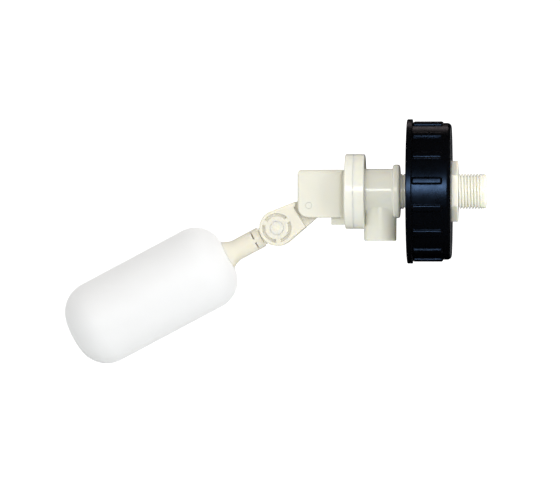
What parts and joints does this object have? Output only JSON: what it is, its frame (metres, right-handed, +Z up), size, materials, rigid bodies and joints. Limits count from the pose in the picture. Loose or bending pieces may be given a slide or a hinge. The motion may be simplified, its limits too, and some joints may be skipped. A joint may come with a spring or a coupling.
{
  "type": "float valve",
  "caption": "Diaphragm float valve on a threaded tank cap: inlet shank, downward outlet, and a pivoting lever with an adjustable elbow and hollow float.",
  "frame": {"origin": "on the inlet shank's axis, in the plane where the rim of the tank's neck meets the cap's seal", "axes": "+X along the inlet shank towards its threaded end, +Z up with the outlet pointing down, +Y completes a right-handed frame"},
  "size_m": [0.2533, 0.0864, 0.1465],
  "materials": {
    "ivory_plastic": "satin moulded",
    "black_plastic": "glossy moulded",
    "float_plastic": "satin, slightly translucent",
    "rubber": "matt",
    "acetal": "satin turned",
    "nylon": "moulded",
    "steel": "bright"
  },
  "bodies": {
    "valve": {"valve_body": "ivory_plastic", "lever_housing": "ivory_plastic", "seat_nozzle": "acetal", "nozzle_o_ring": "rubber", "inlet_strainer": "nylon", "diaphragm": "rubber", "cover_screws": "steel", "pivot_pin": "ivory_plastic", "tank_cap": "black_plastic", "cap_seal": "rubber", "cap_gasket": "rubber", "inner_lock_nut": "ivory_plastic", "outer_lock_nut": "ivory_plastic"},
    "plunger": {"plunger": "acetal", "seal_pad": "rubber"},
    "lever": {"float_lever": "ivory_plastic", "elbow_pin": "ivory_plastic"},
    "float_arm": {"float_stem": "ivory_plastic", "float_o_ring": "rubber", "float_shell": "float_plastic"}
  },
  "joints": [
    {"name": "lever_pivot", "type": "hinge", "parent": "valve", "child": "lever", "pos_m": [-0.0791, 0, -0.0085], "axis": [0, 1, 0], "range_deg": [0, 15]},
    {"name": "elbow", "type": "hinge", "parent": "lever", "child": "float_arm", "pos_m": [-0.0983, 0, -0.0219], "axis": [0, 1, 0], "range_deg": [-60, 60]},
    {"name": "plunger_slide", "type": "slide", "parent": "valve", "child": "plunger", "axis": [1, 0, 0], "range_m": [0, 0.00223], "deforming": ["diaphragm"]}
  ],
  "couplings": [
    {"joint": "plunger_slide", "follows": "lever_pivot", "m_per_rad": 0.0085}
  ]
}
